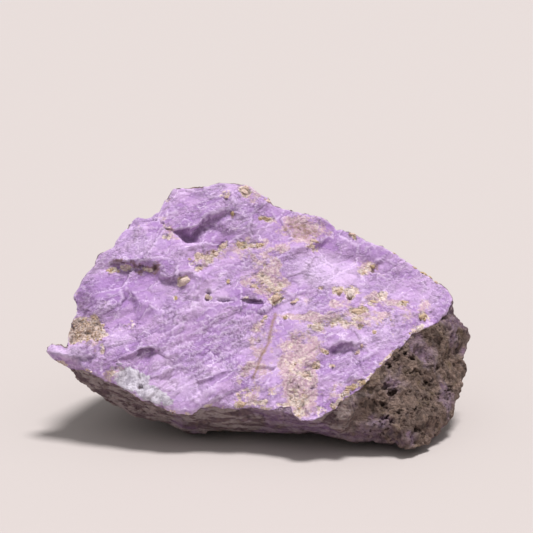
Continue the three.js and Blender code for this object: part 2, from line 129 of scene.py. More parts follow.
BLUSH = [
    (302, 228, 34, 16, 12, 0.65), (268, 285, 26, 17, 20, 0.7), (263, 338, 18, 26, 10, 0.5),
    (255, 380, 20, 26, 15, 0.5),
    (299, 375, 22, 48, 0, 0.85), (350, 320, 46, 11, -4, 0.6), (402, 313, 44, 12, -12, 0.5),
    (242, 250, 40, 9, -12, 0.5),
    (262, 258, 22, 9, 20, 0.5), (152, 223, 20, 7, -10, 0.4), (372, 270, 16, 8, 10, 0.6), (312, 305, 24, 8, -5, 0.35),
    (310, 317, 32, 5, 4, 0.7), (345, 305, 26, 5, 8, 0.55), (388, 300, 32, 6, 8, 0.6), (286, 246, 22, 6, -20, 0.55),
    (262, 262, 20, 7, 35, 0.6), (277, 276, 20, 6, 35, 0.7), (425, 305, 18, 8, 15, 0.4), (300, 345, 26, 14, 0, 0.6),
    (112, 374, 10, 10, 30, 0.5), (250, 194, 18, 8, 20, 0.45), (206, 257, 18, 6, -20, 0.5),
    (170, 232, 14, 9, 30, 0.4), (330, 395, 16, 14, -30, 0.4), (350, 300, 20, 10, 0, 0.3),
]
UMBER = [
    (122, 262, 14, 4, 8, 0.6), (142, 268, 14, 7, 8, 0.6), (156, 267, 6, 9, 0, 0.65), (112, 268, 8, 6, 0, 0.5),
    (233, 214.5, 4, 4, 0, 0.75), (166, 226, 9, 3.5, 20, 0.5),
    (72, 328, 4, 7, 0, 0.4), (71, 340, 4, 5, 0, 0.4), (298, 400, 10, 8, 0, 0.4), (373, 268, 8, 4, -10, 0.45),
    (280, 299, 3, 4, 0, 0.6), (349, 298, 5, 2.5, 0, 0.6), (300, 230, 24, 10, 10, 0.5), (310, 405, 12, 6, 0, 0.35),
]
ASH = [
    (128, 380, 13, 12, 30, 0.9), (150, 393, 16, 10, 25, 0.9), (166, 401, 8, 5, 20, 0.65), (142, 380, 8, 8, 0, 0.7),
    (118, 366, 8, 5, 0, 0.35),
]

# Deeper stretches of the lilac: partly the lilac's own tone, partly painted shade on facets that turn from the light
DEEP_AND_SHADED = [
    (105, 292, 30, 20, 0, 1.0), (218, 232, 22, 14, -10, 0.6), (302, 226, 32, 15, 12, 0.8),
    (210, 345, 36, 30, -20, 0.3),
    (262, 210, 16, 10, 10, 0.5), (365, 250, 26, 9, 25, 0.4), (160, 305, 26, 12, 20, 0.4),
    (350, 367, 24, 12, -25, 0.3),
]
# Paler stretches of the lilac: partly pale veins and bits of the lilac itself, partly painted light on facets that
# face the light and a painted highlight on the lips over dark gaps
PALE_AND_LIT = [
    (325, 272, 36, 17, 10, 1.0), (355, 322, 50, 9, -4, 0.9), (190, 391, 28, 12, 10, 0.5),
    (372, 338, 30, 10, -15, 0.6),
    (147, 346, 11, 1.8, -5, 0.9), (347, 340.5, 12, 1.8, 0, 0.8), (208, 377, 20, 1.6, -22, 0.9),
    (70, 354, 20, 8, 15, 0.9),
    (120, 338, 14, 10, 0, 0.6), (150, 246, 24, 8, -25, 0.4), (105, 307, 12, 3, 0, 0.8), (300, 308, 26, 8, -5, 0.5),
]

# Nuggets set into the face: (column, row, half length, half height, tone from chalk at 0 to ochre at 1)
NUGGETS = [
    (183, 281.5, 6, 6.2, 0.35), (200.5, 268.5, 2.5, 2.5, 0.6), (242, 245, 5, 3.5, 0.7), (222.5, 246, 3, 4, 0.5),
    (260.5, 244.5, 3.5, 2.5, 0.8), (198, 255, 4, 4, 0.4), (206.5, 258.5, 3, 2.5, 0.4), (215, 254, 3, 2.5, 0.4),
    (245, 192.5, 5, 3.5, 0.4), (266, 219, 4.5, 2.3, 0.75), (260, 219, 2.5, 2, 0.8), (233, 214.5, 2.5, 3, 0.9),
    (110, 270, 4, 3.5, 0.75), (118, 271, 2.5, 2, 0.6), (207.5, 297, 3, 2.2, 0.4), (176, 298.5, 2.2, 2.2, 0.9),
    (275.5, 299, 6, 6, 0.6), (228.5, 282, 2, 3, 0.8), (255, 285.5, 3.5, 2.5, 0.6), (320, 289, 2, 1.6, 0.6),
    (338.5, 291, 3.5, 3.5, 0.7), (351.5, 292, 5.5, 5.5, 0.15), (360, 311.5, 8, 3.6, 0.65),
    (294, 301.5, 3.2, 1.5, 0.5),
    (285, 318, 2, 2, 0.8), (265, 316, 2.4, 2, 0.6), (262, 320, 2, 1.8, 0.6), (374, 301, 3.5, 2, 0.7),
    (382, 295, 4, 2.5, 0.3), (404, 302.5, 4, 2.4, 0.75), (423, 316, 4.5, 3.5, 0.75), (360, 328, 3, 2.2, 0.95),
    (374, 332, 2.6, 2.2, 0.7), (362, 346, 2.2, 2, 0.5), (357, 353, 2.4, 2.2, 0.5), (323, 351, 3.2, 2.8, 0.5),
    (317, 365, 3, 2.8, 0.35), (306, 375, 3.5, 2.6, 0.5), (333, 366, 2, 1.8, 0.6), (333, 407, 2.6, 2, 0.7),
    (241, 404.5, 4, 3, 0.65), (265, 402, 3, 2.4, 0.3), (352.5, 388.5, 3, 2.5, 0.8), (363, 383, 3, 2.5, 0.8),
    (353.5, 234.5, 4.2, 2, 0.5), (268, 201, 3, 2, 0.4), (227, 197, 3, 2, 0.5), (315, 241.5, 5, 2.6, 0.5),
    (312, 247.5, 4, 2, 0.4), (373, 268, 3, 2, 0.8), (424, 271.5, 4, 1.8, 0.85), (432, 276, 3, 1.6, 0.8),
    (437, 281, 3, 2, 0.6), (416, 266, 3, 1.4, 0.7), (395, 252, 3, 1.4, 0.6), (268, 290, 3, 2, 0.5),
    (262, 283, 3, 2, 0.4), (281, 290, 2.6, 2, 0.4), (251, 246, 3, 1.8, 0.5), (190, 259, 2.6, 2.2, 0.5),
]

# Small holes and nicks, darkened with painted shade that grows with their depth: (column, row, half length, half
# height, turn in degrees, depth in millimetres)
HOLES = [
    (208.5, 292.5, 3.2, 2.2, 0, 0.9), (298, 387, 2.2, 2, 0, 0.8), (300, 228.5, 1.7, 1.5, 0, 0.5),
    (339, 295, 2, 1.7, 0, 0.6), (350, 298.5, 3.2, 1.8, 0, 0.7), (275, 294, 3.5, 1.2, -15, 0.5),
    (281.5, 299, 1.8, 2.6, 0, 0.7), (362, 381, 2, 1.5, 0, 0.6), (140, 387, 3.6, 2.2, 20, 1.0),
    (139, 375, 1.6, 3, -20, 0.6), (125, 394, 4.5, 1.4, 25, 0.6), (150, 404, 4.5, 1.3, 25, 0.5),
    (161, 406.5, 4.5, 1.2, 25, 0.5), (155, 396, 3, 1.1, 30, 0.4), (72, 327, 2, 3.2, 0, 0.8),
    (71, 340, 2.4, 3, 0, 0.8), (86, 333, 3.2, 1.6, 0, 0.6), (97, 324, 2.2, 2, 0, 0.5), (92, 337, 2.2, 1.4, 0, 0.5),
    (80, 322, 2.5, 1.5, 0, 0.5), (226, 199, 2.2, 1.4, 0, 0.5), (224, 195, 1.5, 1.2, 0, 0.4),
    (162, 222, 3.2, 1.2, 30, 0.5),
    (167, 229, 3.2, 1.2, 10, 0.5), (168, 236, 1.6, 1.8, 0, 0.4), (155, 219.5, 4.5, 1.0, 8, 0.5),
    (356, 310, 2, 1.5, 0, 0.5), (360, 328, 2.2, 1.4, 0, 0.5), (321.5, 288, 1.2, 1.8, 20, 0.4),
    (116, 368, 2, 1.2, 0, 0.4),
    (133, 367, 4, 1.0, 20, 0.4), (303, 404, 2, 1.6, 0, 0.6), (290, 399, 2.2, 1.4, 0, 0.5),
    (312, 388, 2.6, 1.2, 0, 0.5),
    (331, 390, 2.6, 1.0, -10, 0.5), (262, 276, 2.4, 1.6, 0, 0.4), (120, 264, 5, 1.6, 0, 0.6),
    (140, 266, 6, 1.8, 0, 0.6),
    (155, 268, 2.4, 3.4, 0, 0.7), (112, 264, 3, 1.6, 0, 0.5), (308, 374, 2.2, 1.6, 0, 0.5),
    (317, 367.5, 2.2, 1.1, 0, 0.4),
]

# Cracks of the front, darkened with painted shade: (half width in squares, depth in millimetres, run of columns and
# rows)
CRACKS = [
    (1.2, 0.8, [(194, 299), (205, 298.5), (222, 300.5), (240, 300.5)]),
    (0.9, 0.5, [(177, 282), (180, 286), (185, 288.3), (198, 288.5)]),
    (0.9, 0.4, [(161, 270), (168, 275.3), (180, 274.8)]),
    (0.7, 0.3, [(160, 255), (166, 252), (172, 247)]),
    (0.8, 0.35, [(226, 318), (227.5, 330), (228, 339)]),
    (0.7, 0.3, [(103, 342), (110, 341)]),
    (0.7, 0.3, [(198, 371), (201, 378)]),
    (0.9, 0.4, [(105, 361), (104, 358), (110, 355)]),
    (0.8, 0.35, [(136, 338), (140, 345)]),
]
VEIN = [
    (276, 313), (273, 320), (271, 330), (269, 340), (266, 348), (262, 354), (259, 361), (256, 370), (253, 378),
]

# Deep gaps with crisp edges, darkened with a painted shadow: (column, row, half length, half height, turn in degrees,
# depth in millimetres, darkness of the painted shadow)
GAPS = [
    (252, 300.6, 14, 1.5, 6, 0.25, 0.7), (147, 350.3, 10, 2.2, -6, 0.5, 0.5), (141, 353, 4, 1.8, -30, 0.4, 0.45),
    (347, 345, 10.5, 2.6, -2, 0.4, 0.4), (341, 346.5, 4, 1.5, -25, 0.3, 0.4),
]

# Pits of the grey side, darkened with painted shade: (column, row, half width in squares, depth in millimetres)
RIND_PITS = [
    (394, 393, 3.6, 0.8), (384.5, 386.5, 3.4, 0.7), (427, 383.5, 3.4, 0.8), (428, 390, 2.4, 0.6), (416, 371, 3, 0.6),
    (423, 373, 2.2, 0.5), (387, 418, 3.2, 0.7), (393, 421, 2.6, 0.6), (415, 412, 2.8, 0.6), (421, 410, 2, 0.5),
    (401, 411, 2.6, 0.6), (417, 430, 2.8, 0.6), (404, 425, 2.4, 0.6), (450.5, 390, 2.8, 0.8), (448, 397, 2.8, 0.8),
    (389, 366, 3, 0.8), (403, 351, 3.4, 0.9), (396, 360, 2.6, 0.6), (382, 405, 2.8, 0.6), (386, 403, 2.2, 0.5),
    (374, 401, 2.6, 0.6), (437, 367, 2.6, 0.6), (412, 358, 2.6, 0.6), (416, 355, 2, 0.5), (426, 398, 2.4, 0.5),
    (410, 392, 2.2, 0.5), (404, 402, 2, 0.4), (441, 372, 2, 0.5), (432, 341, 2.4, 0.5), (425, 335, 3, 0.5),
    (398, 436, 4, 0.4), (445, 366, 2.2, 0.5), (449, 330, 3, 0.6), (372, 412, 2.6, 0.4), (362, 404, 2.6, 0.4),
]

# Where the face broke in long hackled streaks, as patches
HACKLE = [
    (205, 350, 60, 42, -25, 1.0), (180, 385, 50, 16, 20, 0.8), (340, 370, 34, 16, -25, 0.7),
    (405, 333, 34, 12, -20, 0.6),
    (245, 275, 30, 16, 30, 0.5), (235, 205, 30, 14, 20, 0.5),
]

PATCHES = {
    "crust": CRUST, "ochre": OCHRE, "blush": BLUSH, "umber": UMBER,
    "ash": ASH, "deep": DEEP_AND_SHADED, "pale_and_lit": PALE_AND_LIT, "hackle": HACKLE,
}

# The way the lilac face splits: long flakes run up to the right, in the leaning plane of the face
FLAKE_TURN = math.radians(27)
FACE_UP = Vector((0, 0.71, 0.71))
FLAKE_ALONG = (Vector((1, 0, 0)) * math.cos(FLAKE_TURN) + FACE_UP * math.sin(FLAKE_TURN)).normalized()
FLAKE_ACROSS = (FACE_UP * math.cos(FLAKE_TURN) - Vector((1, 0, 0)) * math.sin(FLAKE_TURN)).normalized()
FLAKE_OUT = FLAKE_ALONG.cross(FLAKE_ACROSS)

# The way that the fresh breaks of the back face
FRESH_BREAK = Vector((-0.35, 0.55, 0.76))

# How many times a mark is averaged with its neighbours
FRONT_PASSES = 10
BREAK_PASSES = 60
DUST_PASSES = 40

STONE_AREA = 26000 * MM**2
BITES_PER_PIT = 6
FLATS_PER_CRUMB = 8
STONE_SPECULAR = 0.2

FLOOR_REACH = 6.0
KEY_WAY = Vector((-0.18, -0.12, -0.97))
SENSOR_WIDTH = 36


def colour(name, text, default):
    return FloatVectorProperty(name=name, description=text, subtype="COLOR", size=3, min=0, max=1, default=default)


class SpecimenShape(bpy.types.PropertyGroup):
    """Sizes of the stone's relief."""

    cuts: IntProperty(name="Cuts", description="Cuts across each edge of the solid", default=4, min=0, max=4)
    passes: IntProperty(name="Passes", description="Passes that soften the solid's facets", default=3, min=0, max=40)
    flake: FloatProperty(name="Flake", description="Height of the flakes", default=0.40 * MM, unit="LENGTH")
    grain: FloatProperty(name="Grain", description="Height of the grain", default=0.12 * MM, unit="LENGTH")
    crust: FloatProperty(name="Crust", description="Height of the crust's lumps", default=0.6 * MM, unit="LENGTH")
    rind: FloatProperty(name="Rind", description="Height of the rind's lumps", default=0.65 * MM, unit="LENGTH")
    crumbs: IntProperty(name="Crumbs", description="Small crumbs in the crust", default=900, min=0, max=1500)


class SpecimenColours(bpy.types.PropertyGroup):
    """Colours of the stone's minerals."""

    lilac: colour("Lilac", "Fresh lilac mineral", (0.545, 0.34, 0.615))
    lilac_deep: colour("Deep lilac", "Lilac in its denser streaks", (0.36, 0.195, 0.46))
    lilac_pale: colour("Pale lilac", "Bruised and powdered lilac", (0.80, 0.62, 0.86))
    cream: colour("Cream", "Cream crust", (0.66, 0.48, 0.39))
    chalk: colour("Chalk", "Palest crust", (0.83, 0.69, 0.63))
    ochre: colour("Ochre", "Yellow nuggets", (0.50, 0.36, 0.16))
    blush: colour("Blush", "Pink-beige crust", (0.53, 0.335, 0.385))
    umber: colour("Umber", "Brown stain", (0.27, 0.155, 0.12))
    ash: colour("Ash", "Grey of the bruised patch", (0.43, 0.40, 0.45))
    bloom: colour("Bloom", "Palest grey of the bruised patch", (0.70, 0.66, 0.72))
    vein: colour("Vein", "Thin tan vein", (0.34, 0.21, 0.15))
    rind: colour("Rind", "Grey-brown rind", (0.11, 0.075, 0.063))
    rind_pale: colour("Pale rind", "Worn rind", (0.29, 0.20, 0.165))
    rind_olive: colour("Olive rind", "Olive-brown grains of the rind", (0.21, 0.145, 0.085))
    rind_mauve: colour("Mauve rind", "Rind over lilac", (0.19, 0.125, 0.15))
    rind_grey: colour("Grey rind", "Pale layers of the rind over lilac", (0.50, 0.40, 0.41))
    # painted shade: the near-black laid into holes, cracks, pits, gaps, pores and creases
    hollow_shade: colour("Hollow", "Painted shade in pits and cracks", (0.05, 0.024, 0.024))


class SpecimenStage(bpy.types.PropertyGroup):
    """The plain stage."""

    floor: colour("Floor", "Pale floor", (0.50, 0.445, 0.43))
    key: FloatProperty(name="Key", description="Strength of the soft light above", default=3.7, min=0)
    softness: FloatProperty(
        name="Softness", description="Width of the light above", default=math.radians(16), unit="ROTATION"
    )
    sky: FloatProperty(name="Sky", description="Strength of the light from all round", default=0.46, min=0)


def survey_spots(places):
    """The column and row at which the front survey sees each place."""
    q = places - np.array(SURVEY_ORIGIN)
    nearness = (EYE_DISTANCE - q @ np.array(VIEW_OUT)) / EYE_DISTANCE
    column = VIEW_MIDDLE + (q[:, 0] - AXIS_X) / (SQUARE * nearness)
    row = VIEW_MIDDLE - (q @ np.array(VIEW_UP) - AXIS_UP) / (SQUARE * nearness)
    return column, row


def smoothstep(low, high, value):
    t = np.clip((value - low) / (high - low), 0, 1)
    return t * t * (3 - 2 * t)


def ellipse_distance(column, row, patch):
    """Distance from a patch's middle, as a share of its half length and half height."""
    turn = math.radians(patch[4])
    dx, dy = column - patch[0], row - patch[1]
    along = dx * math.cos(turn) + dy * math.sin(turn)
    across = dy * math.cos(turn) - dx * math.sin(turn)
    return np.hypot(along / patch[2], across / patch[3])


def patch_mask(column, row, patches):
    """How much of any of the patches lies at each spot, from 0 to 1."""
    mask = np.zeros(len(column))
    for patch in patches:
        mask = np.maximum(mask, patch[5] * (1 - smoothstep(0.45, 1.45, ellipse_distance(column, row, patch))))
    return mask


def line_distance(column, row, line):
    """Distance in squares from a run of straight lines."""
    best = np.full(len(column), np.inf)
    for (ax, ay), (bx, by) in zip(line, line[1:]):
        ex, ey = bx - ax, by - ay
        t = np.clip(((column - ax) * ex + (row - ay) * ey) / (ex * ex + ey * ey), 0, 1)
        best = np.minimum(best, np.hypot(column - ax - t * ex, row - ay - t * ey))
    return best


def below_brow(column, row):
    """Signed distance in squares below the brow: positive on the grey rind."""
    level = np.interp(column, [p[0] for p in BROW], [p[1] for p in BROW])
    return np.where(row > level, 1, -1) * line_distance(column, row, BROW)


def noise_at(places, size, seed, octaves=1):
    """Smooth noise from about -1 to 1 with features of one size."""
    total = np.zeros(len(places))
    for octave in range(octaves):
        points = (places * (2**octave / size) + 17.3 * (seed + octave)).tolist()
        total += np.fromiter((noise.noise(p) for p in points), float, len(points)) * 0.5**octave
    return total


def flake_frame(places, stretch):
    """Places in the flakes' own axes, drawn out along the way that they run."""
    axes = np.array([FLAKE_ALONG / stretch, FLAKE_ACROSS, FLAKE_OUT])
    return places @ axes.T


def nearest_cells(places, size, rng):
    """Cells of about one size scattered over the surface: each place's cell, and its way from the cell's middle."""
    count = int(STONE_AREA / size**2)
    middles = places[rng.choice(len(places), count, replace=False)]
    tree = kdtree.KDTree(count)
    for index, middle in enumerate(middles):
        tree.insert(middle, index)
    tree.balance()
    cell = np.fromiter((tree.find(p)[1] for p in places.tolist()), int, len(places))
    return cell, places - middles[cell], count


def chips(places, size, stretch, seed):
    """Flat chips with small tilts: heights of about -1 to 1 with crisp edges between the chips."""
    rng = np.random.default_rng(seed)
    cell, way, count = nearest_cells(flake_frame(places, stretch), size, rng)
    tilts = rng.normal(size=(count, 3))
    lifts = rng.normal(size=count) * 0.35
    return np.clip((way * tilts[cell]).sum(1) / size + lifts[cell], -1.4, 1.4)


def lumps(places, size, seed):
    """Rounded lumps with creases between them: heights of about 0 to 1."""
    rng = np.random.default_rng(seed)
    cell, way, count = nearest_cells(places, size, rng)
    tall = rng.uniform(0.35, 1.0, count)
    return tall[cell] * np.clip(1 - (np.linalg.norm(way, axis=1) / (0.85 * size)) ** 2, 0, 1)


class Surface:
    """The stone's fine mesh as arrays, with the moves that carve it."""

    def __init__(self, mesh):
        self.places = np.empty(len(mesh.vertices) * 3)
        mesh.vertices.foreach_get("co", self.places)
        self.places = self.places.reshape(-1, 3)
        self.edges = np.empty(len(mesh.edges) * 2, int)
        mesh.edges.foreach_get("vertices", self.edges)
        self.edges = self.edges.reshape(-1, 2)
        self.corners = np.empty(len(mesh.loops), int)
        mesh.loops.foreach_get("vertex_index", self.corners)
        self.corners = self.corners.reshape(-1, 3)
        self.degree = np.bincount(self.edges.ravel(), minlength=len(self.places))

    def neighbour_mean(self, values):
        a, b = self.edges.T
        count = len(values)
        total = np.bincount(a, values[b], count) + np.bincount(b, values[a], count)
        return total / self.degree

    def spread(self, values, passes):
        for _ in range(passes):
            values = self.neighbour_mean(values)
        return values

    def soften(self, passes):
        for _ in range(passes):
            mean = np.stack([self.neighbour_mean(axis) for axis in self.places.T], 1)
            self.places += 0.5 * (mean - self.places)

    def normals(self):
        a, b, c = (self.places[self.corners[:, k]] for k in range(3))
        faces = np.cross(b - a, c - a)
        total = np.zeros_like(self.places)
        for k in range(3):
            for axis in range(3):
                total[:, axis] += np.bincount(self.corners[:, k], faces[:, axis], len(total))
        return total / np.linalg.norm(total, axis=1, keepdims=True)

    def raise_by(self, heights):
        self.places += self.normals() * heights[:, None]

    def bulge(self):
        """How far each place stands out of its neighbours, in millimetres."""
        mean = np.stack([self.neighbour_mean(axis) for axis in self.places.T], 1)
        return ((self.places - mean) * self.normals()).sum(1) / MM


def stone_marks(surface):
    """Where each mineral lies, from 0 to 1 at every place of the stone, and where the front survey sees it."""
    places, normals = surface.places, surface.normals()
    column, row = survey_spots(places)
    c = column + 2.2 * noise_at(places, 6 * MM, 3) + 2.4 * noise_at(places, 2 * MM, 5, 2)
    r = row + 2.2 * noise_at(places, 6 * MM, 4) + 2.4 * noise_at(places, 2 * MM, 6, 2)
    front = smoothstep(0.0, 0.14, surface.spread(normals @ np.array(VIEW_OUT), FRONT_PASSES))
    brow = below_brow(column + noise_at(places, 2 * MM, 5, 2), row + noise_at(places, 2 * MM, 6, 2))

    # the hidden sides: rind underneath and up most of the back, with fresh lilac where flakes came off
    facing = surface.spread(normals @ np.array(FRESH_BREAK), BREAK_PASSES)
    facing += 0.22 * noise_at(places, 14 * MM, 11, 2) + 0.12 * noise_at(places, 3 * MM, 12, 2)
    rind_back = 1 - smoothstep(0.62, 0.70, facing)
    marks = {"rind": front * smoothstep(-0.8, 0.8, brow) + (1 - front) * rind_back}
    lilac = 1 - marks["rind"]
    for name, patches in PATCHES.items():
        marks[name] = patch_mask(c, r, patches) * front * lilac
    hidden = noise_at(places, 17 * MM, 21, 3) + 0.35 * noise_at(places, 3 * MM, 22, 2)
    marks["crust"] = np.maximum(marks["crust"], 0.6 * smoothstep(0.38, 0.62, hidden) * (1 - front))

    # crust dust thins out into the lilac round each patch of crust, and some lines the brow
    dust = surface.spread(marks["crust"], DUST_PASSES)
    dust = smoothstep(0.08, 0.5, dust + 0.3 * noise_at(places, 2.5 * MM, 23, 2)) * front * lilac
    marks["blush"] = np.maximum(marks["blush"], 0.6 * dust)
    rim = smoothstep(-5.0, -1.0, brow) * smoothstep(-0.1, 0.2, noise_at(places, 7 * MM, 24, 2)) * front * lilac
    marks["crust"] = np.maximum(marks["crust"], 0.7 * rim)
    marks["blush"] = np.maximum(marks["blush"], 0.8 * smoothstep(0.0, 0.5, hidden) * (1 - front) * lilac)

    vein_width = 1.5 + 0.4 * noise_at(places, 3 * MM, 8)
    marks["vein"] = (1 - smoothstep(0.4, 1.3, line_distance(column, row, VEIN) / vein_width)) * front
    # the underside of the front overhang is greyer than the pitted side
    marks["mauve"] = front * marks["rind"] * (1 - smoothstep(325, 375, c))
    return marks, front, column, row


def carve_stone(surface, shape):
    """Raises flakes, crust and rind on the softened solid, sinks its holes, and gives back the marks."""
    surface.soften(shape.passes)
    marks, front, column, row = stone_marks(surface)
    places = surface.places.copy()
    lilac = 1 - marks["rind"]

    # lilac: tilted flakes with smaller chips on them, long streaks where the face is hackled, and a fine grain
    hackle = np.maximum(marks.pop("hackle"), 0.5 * (1 - front))
    flakes = 0.9 * chips(places, 8.5 * MM, 1.4, 31) + 0.3 * chips(places, 3.2 * MM, 1.3, 32)
    streaks = 0.7 * chips(places, 2.4 * MM, 3.0, 36) + 0.7 * noise_at(flake_frame(places, 2.6), 3.2 * MM, 33, 2)
    swell = noise_at(places, 6 * MM, 34, 2)
    fresh = lilac * (1 - 0.6 * marks["crust"])
    relief = fresh * shape.flake * ((1 - 0.4 * hackle) * flakes + 0.5 * swell + hackle * streaks)
    broken = smoothstep(-0.2, 0.25, noise_at(places, 11 * MM, 37, 2))
    relief += shape.grain * (0.3 + 0.9 * np.maximum(broken, 1 - fresh)) * noise_at(places, 1.3 * MM, 35, 2)
    marks["broken"] = np.maximum(broken, 1 - front)

    # crust and stains: crumbly lumps that stand a little proud
    crumbly = lumps(places, 2.6 * MM, 41) * 0.6 + lumps(places, 1.3 * MM, 42) * 0.5 - 0.35
    stained = np.maximum(marks["blush"] * 0.6, np.maximum(marks["umber"], marks["ash"]))
    rugged = np.maximum(marks["crust"], 0.7 * stained)
    relief += shape.crust * rugged * crumbly

    # rind: broken lumps with pits between them
    knobs = 0.6 * noise_at(places, 8 * MM, 51, 3) + 0.45 * chips(places, 4.2 * MM, 1.0, 52)
    knobs += 0.3 * chips(places, 1.7 * MM, 1.0, 55) + 0.4 * (lumps(places, 3.0 * MM, 56) - 0.4)
    relief += shape.rind * marks["rind"] * knobs * (1 - 0.45 * marks["mauve"])
    rough = smoothstep(-0.25, 0.35, noise_at(places, 13 * MM, 53))
    pores = smoothstep(0.62, 0.95, 1 - lumps(places, 1.9 * MM, 54))
    pores = pores * rough * marks["rind"] * (1 - 0.8 * marks["mauve"])
    relief -= 0.5 * MM * pores

    # holes, cracks and ragged pits, sunk and darkened with painted shade; the painted shade starts in the rind's
    # pores
    rng = np.random.default_rng(62)
    hollow_shade = 0.4 * pores
    wobble = 1 + 0.5 * noise_at(places, 1.1 * MM, 61, 2)
    gaps = smoothstep(-0.25, 0.2, noise_at(places, 2.2 * MM, 63))
    for hole in HOLES:
        sunk = (1 - smoothstep(0.35, 1.15, ellipse_distance(column, row, hole) * wobble)) * front
        relief -= hole[5] * MM * sunk
        hollow_shade = np.maximum(hollow_shade, sunk * min(1, 0.25 + 0.7 * hole[5]))
    for half_width, depth, line in CRACKS:
        sunk = (1 - smoothstep(0.3, 1.4, line_distance(column, row, line) * wobble / half_width)) * front * gaps
        relief -= depth * MM * sunk
        hollow_shade = np.maximum(hollow_shade, 0.5 * sunk)
    for pit_column, pit_row, half_width, depth in RIND_PITS:
        for _ in range(BITES_PER_PIT):
            across, down = rng.normal(size=2) * 0.9 * half_width
            long, high = rng.uniform(0.3, 0.75, 2) * half_width
            pit = (pit_column + across, pit_row + 0.7 * down, long, 0.75 * high, rng.uniform(-60, 60))
            sunk = (1 - smoothstep(0.3, 1.25, ellipse_distance(column, row, pit) * wobble)) * front
            relief -= 0.75 * depth * MM * sunk
            hollow_shade = np.maximum(hollow_shade, 0.6 * sunk)
    # gaps: sunk, and darkened with a painted shadow of their own darkness
    for gap in GAPS:
        sunk = (1 - smoothstep(0.7, 1.05, ellipse_distance(column, row, gap) * wobble)) * front
        relief -= gap[5] * MM * sunk
        hollow_shade = np.maximum(hollow_shade, gap[6] * sunk)
    marks["hollow_shade"] = hollow_shade

    surface.raise_by(relief * smoothstep(0.2 * MM, 2.5 * MM, places[:, 2]))
    surface.places[:, 2] = np.maximum(surface.places[:, 2], 0)
    bulge = surface.bulge()
    # edges that stand proud and creases that sink: the paint lightens the first with a painted highlight and darkens
    # the second with painted shade
    marks["proud"] = smoothstep(0.01, 0.10, bulge)
    marks["sunk"] = smoothstep(0.01, 0.10, -bulge)
    return marks


def fine_copy(node, cuts):
    """A new mesh like a CAD node's, with every triangle cut finer."""
    made = bmesh.new()
    made.from_mesh(node.data)
    bmesh.ops.remove_doubles(made, verts=made.verts, dist=1e-6)
    bmesh.ops.triangulate(made, faces=made.faces)
    bmesh.ops.subdivide_edges(made, edges=made.edges, cuts=cuts, use_grid_fill=True)
    bmesh.ops.triangulate(made, faces=made.faces)
    mesh = bpy.data.meshes.new("stone_surface")
    made.to_mesh(mesh)
    made.free()
    return mesh


def add_piece(name, mesh, material):
    piece = bpy.data.objects.new(name, mesh)
    bpy.context.scene.collection.objects.link(piece)
    mesh.materials.clear()
    mesh.materials.append(material)
    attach(piece, "root")
    return piece


